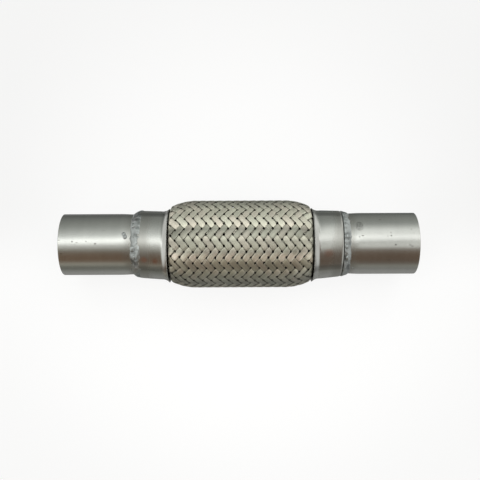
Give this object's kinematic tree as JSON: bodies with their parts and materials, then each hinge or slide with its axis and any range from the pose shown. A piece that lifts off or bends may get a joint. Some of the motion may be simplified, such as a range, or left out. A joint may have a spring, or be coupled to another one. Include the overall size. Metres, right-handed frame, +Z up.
{
  "type": "flexible exhaust pipe",
  "caption": "Braided stainless flexible exhaust pipe: wire braid over a bellows and strip wound liner, flared end caps and plain welded tube ends.",
  "frame": {"origin": "middle of the pipe's length, on its axis", "axes": "+X along the gas path to the outlet end, +Z up, lying on the braid's belly"},
  "size_m": [0.254, 0.0634, 0.0634],
  "materials": {
    "brushed_tube": "brushed round the pipe",
    "collar_steel": "brushed round the pipe, brighter on the flare",
    "weld_metal": "dull lumpy weld",
    "braid_wire": "drawn wire, warm grey",
    "bellows_steel": "bright rolled sheet",
    "liner_steel": "rolled strip"
  },
  "bodies": {
    "root": {"inlet_tube_end": "brushed_tube", "outlet_tube_end": "brushed_tube", "inlet_end_cap": "collar_steel", "outlet_end_cap": "collar_steel", "inlet_weld_bead": "weld_metal", "outlet_weld_bead": "weld_metal", "outer_braid": "braid_wire", "bellows": "bellows_steel", "interlock_liner": "liner_steel"}
  },
  "joints": []
}
